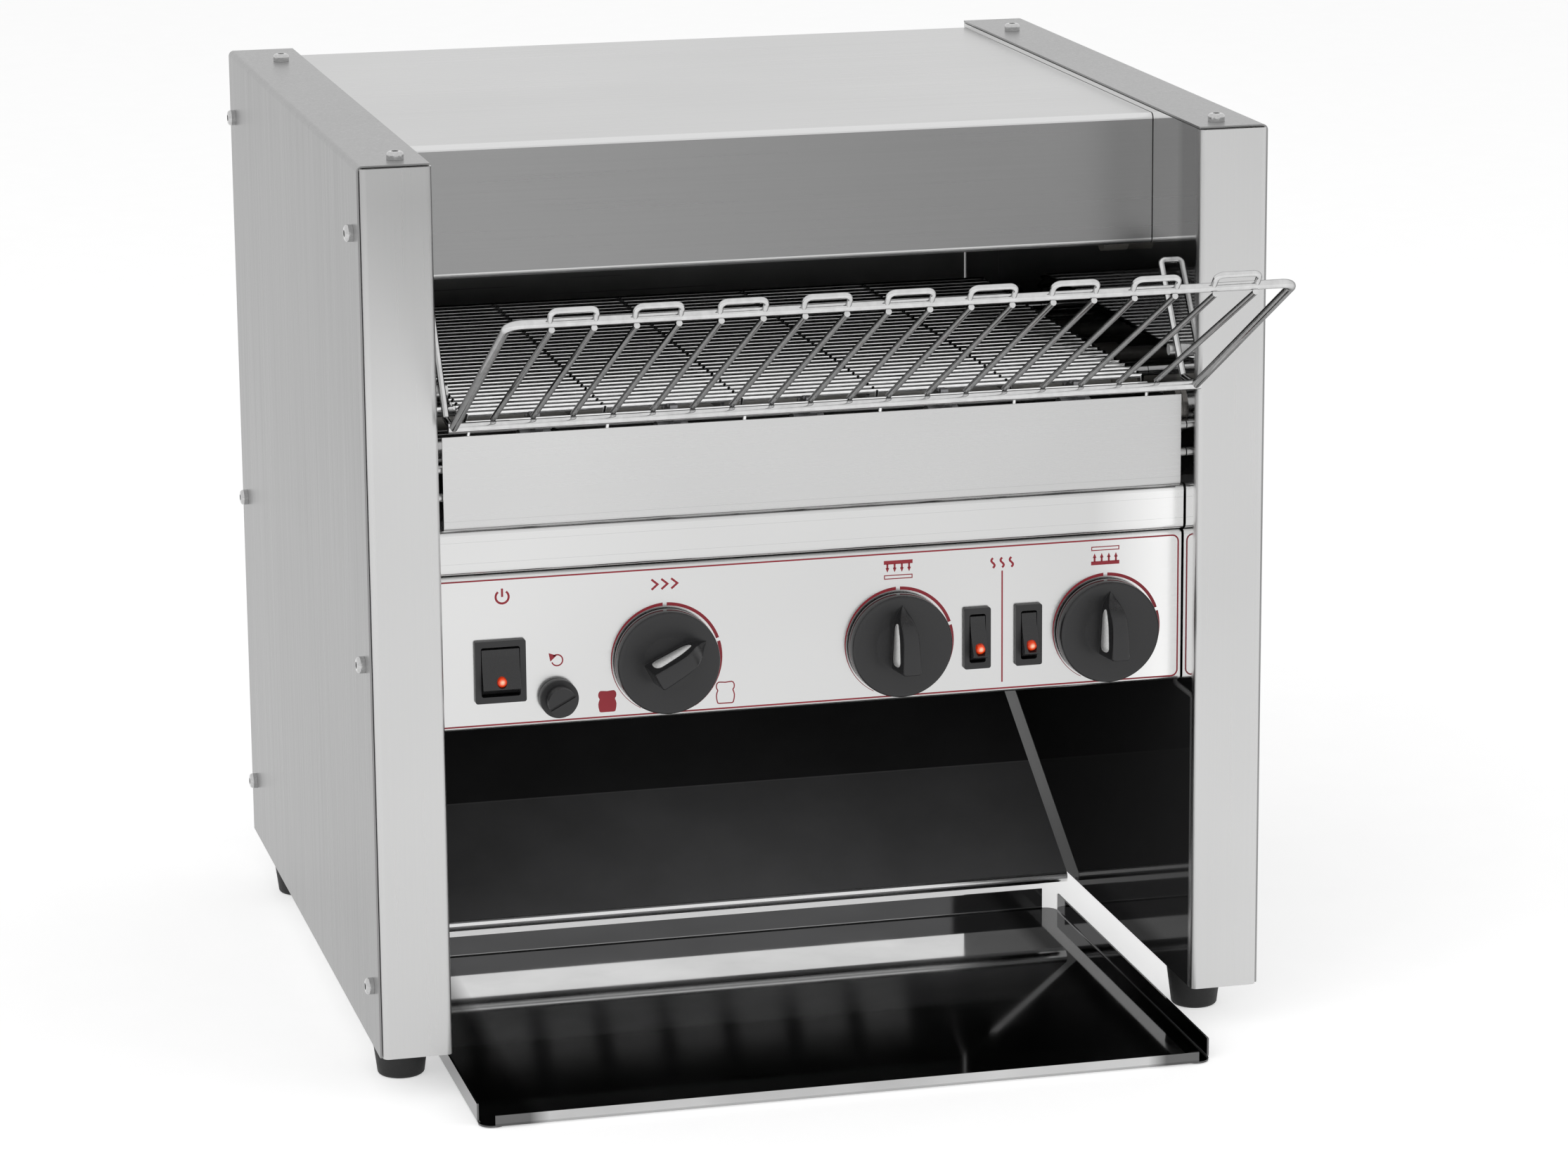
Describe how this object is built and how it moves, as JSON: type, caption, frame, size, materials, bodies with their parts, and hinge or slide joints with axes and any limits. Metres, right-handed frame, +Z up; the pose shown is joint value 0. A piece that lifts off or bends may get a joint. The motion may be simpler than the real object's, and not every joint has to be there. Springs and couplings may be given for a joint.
{
  "type": "conveyor toaster",
  "caption": "Countertop conveyor toaster with a sloping wire loading rack, flat wire belt, rotary and rocker controls, return chute and loose collecting tray.",
  "frame": {"origin": "bottom centre of the bounding box, on the worktop under the feet", "axes": "+Z up; +Y from the front, where the bread goes in and comes out, to the back; +X to the right as seen from the front"},
  "size_m": [0.4834, 0.622, 0.4922],
  "materials": {
    "brushed_steel": "satin stainless sheet with a fine vertical grain",
    "polished_steel": "bright stainless sheet with a fine sideways grain",
    "inner_steel": "mirror-polished stainless sheet",
    "bright_wire": "bright drawn stainless wire",
    "machined_steel": "turned steel",
    "bush_bronze": "sintered bronze",
    "quartz": "smooth pale quartz tube",
    "ceramic": "unglazed ceramic",
    "motor_paint": "grey enamel",
    "black_plastic": "fine-grained black moulding",
    "lamp_orange": "glossy orange lens",
    "control_moulding": "heat-proof moulding",
    "button_red": "glossy red moulding",
    "foot_rubber": "black rubber"
  },
  "bodies": {
    "casing": {"side_frame_left": "brushed_steel", "side_frame_right": "brushed_steel", "side_cover_left": "brushed_steel", "side_cover_right": "brushed_steel", "hood": "brushed_steel", "rear_panel": "brushed_steel", "apron": "polished_steel", "ledge": "polished_steel", "control_fascia": "polished_steel", "control_box": "inner_steel", "deck_plate": "inner_steel", "return_chute": "inner_steel", "belt_upper_run": "bright_wire", "belt_lower_run": "bright_wire", "belt_front_bend": "bright_wire", "belt_rear_bend": "bright_wire", "belt_support_rails": "inner_steel", "shaft_bushes": "bush_bronze", "upper_heaters": "quartz", "lower_heaters": "quartz", "heater_holders": "ceramic", "upper_reflector": "inner_steel", "gear_motor": "motor_paint", "drive_chain": "machined_steel", "speed_controller": "control_moulding", "upper_heat_regulator": "control_moulding", "lower_heat_regulator": "control_moulding", "power_switch_body": "black_plastic", "upper_heat_switch_body": "black_plastic", "lower_heat_switch_body": "black_plastic", "safety_thermostat": "control_moulding", "fan_frame": "black_plastic", "rubber_feet": "foot_rubber", "foot_bolts": "machined_steel", "cover_screws": "machined_steel", "cable_gland": "black_plastic"},
    "tray": {"collecting_tray": "inner_steel"},
    "rack": {"loading_rack": "bright_wire", "rack_hooks": "bright_wire"},
    "drive": {"drive_shaft": "machined_steel", "drive_sprockets": "machined_steel", "chain_wheel": "machined_steel"},
    "idler": {"idler_shaft": "machined_steel", "idler_sprockets": "machined_steel"},
    "motor_output": {"motor_sprocket": "machined_steel"},
    "fan_rotor": {"fan_impeller": "black_plastic"},
    "speed_dial": {"speed_knob": "black_plastic", "speed_spindle": "machined_steel"},
    "upper_heat_dial": {"upper_heat_knob": "black_plastic", "upper_heat_spindle": "machined_steel"},
    "lower_heat_dial": {"lower_heat_knob": "black_plastic", "lower_heat_spindle": "machined_steel"},
    "power_key": {"power_rocker": "black_plastic", "power_lamp": "lamp_orange"},
    "upper_heat_key": {"upper_heat_rocker": "black_plastic", "upper_heat_lamp": "lamp_orange"},
    "lower_heat_key": {"lower_heat_rocker": "black_plastic", "lower_heat_lamp": "lamp_orange"},
    "cut_out_cap": {"reset_cap": "black_plastic"},
    "cut_out_button": {"reset_button": "button_red"}
  },
  "joints": [
    {"name": "tray_slide", "type": "slide", "parent": "casing", "child": "tray", "axis": [0, -1, 0], "range_m": [-0.03, 0.26]},
    {"name": "rack_lift", "type": "hinge", "parent": "casing", "child": "rack", "pos_m": [0, -0.096, 0.4115], "axis": [-1, 0, 0], "range_deg": [0, 60]},
    {"name": "drive_spin", "type": "hinge", "parent": "casing", "child": "drive", "pos_m": [0, 0.18922, 0.33456], "axis": [1, 0, 0], "continuous": true, "deforming": ["belt_rear_bend"]},
    {"name": "idler_spin", "type": "hinge", "parent": "casing", "child": "idler", "pos_m": [0, -0.10606, 0.33456], "axis": [1, 0, 0], "continuous": true, "deforming": ["belt_front_bend"]},
    {"name": "motor_spin", "type": "hinge", "parent": "casing", "child": "motor_output", "pos_m": [-0.215, 0.03922, 0.232], "axis": [1, 0, 0], "continuous": true},
    {"name": "fan_spin", "type": "hinge", "parent": "casing", "child": "fan_rotor", "pos_m": [0.103, 0.105, 0.205], "axis": [0, 0, 1], "continuous": true},
    {"name": "speed_turn", "type": "hinge", "parent": "casing", "child": "speed_dial", "pos_m": [-0.08, -0.12, 0.221], "axis": [0, 1, 0], "range_deg": [-212, 88]},
    {"name": "upper_heat_turn", "type": "hinge", "parent": "casing", "child": "upper_heat_dial", "pos_m": [0.0445, -0.12, 0.221], "axis": [0, 1, 0], "range_deg": [0, 270]},
    {"name": "lower_heat_turn", "type": "hinge", "parent": "casing", "child": "lower_heat_dial", "pos_m": [0.1575, -0.12, 0.221], "axis": [0, 1, 0], "range_deg": [0, 270]},
    {"name": "power_rock", "type": "hinge", "parent": "casing", "child": "power_key", "pos_m": [-0.167, -0.116, 0.221], "axis": [1, 0, 0], "range_deg": [0, 14]},
    {"name": "upper_heat_rock", "type": "hinge", "parent": "casing", "child": "upper_heat_key", "pos_m": [0.087, -0.116, 0.221], "axis": [1, 0, 0], "range_deg": [0, 14]},
    {"name": "lower_heat_rock", "type": "hinge", "parent": "casing", "child": "lower_heat_key", "pos_m": [0.115, -0.116, 0.221], "axis": [1, 0, 0], "range_deg": [0, 14]},
    {"name": "cap_turn", "type": "hinge", "parent": "casing", "child": "cut_out_cap", "pos_m": [-0.137, -0.12, 0.205], "axis": [0, -1, 0], "range_deg": [-30, 330]},
    {"name": "reset_press", "type": "slide", "parent": "casing", "child": "cut_out_button", "axis": [0, 1, 0], "range_m": [0, 0.002], "stiffness_N_per_m": 300, "springref_m": -0.001}
  ],
  "couplings": [
    {"joint": "idler_spin", "follows": "drive_spin", "ratio": 1},
    {"joint": "motor_spin", "follows": "drive_spin", "ratio": 1.3333}
  ]
}
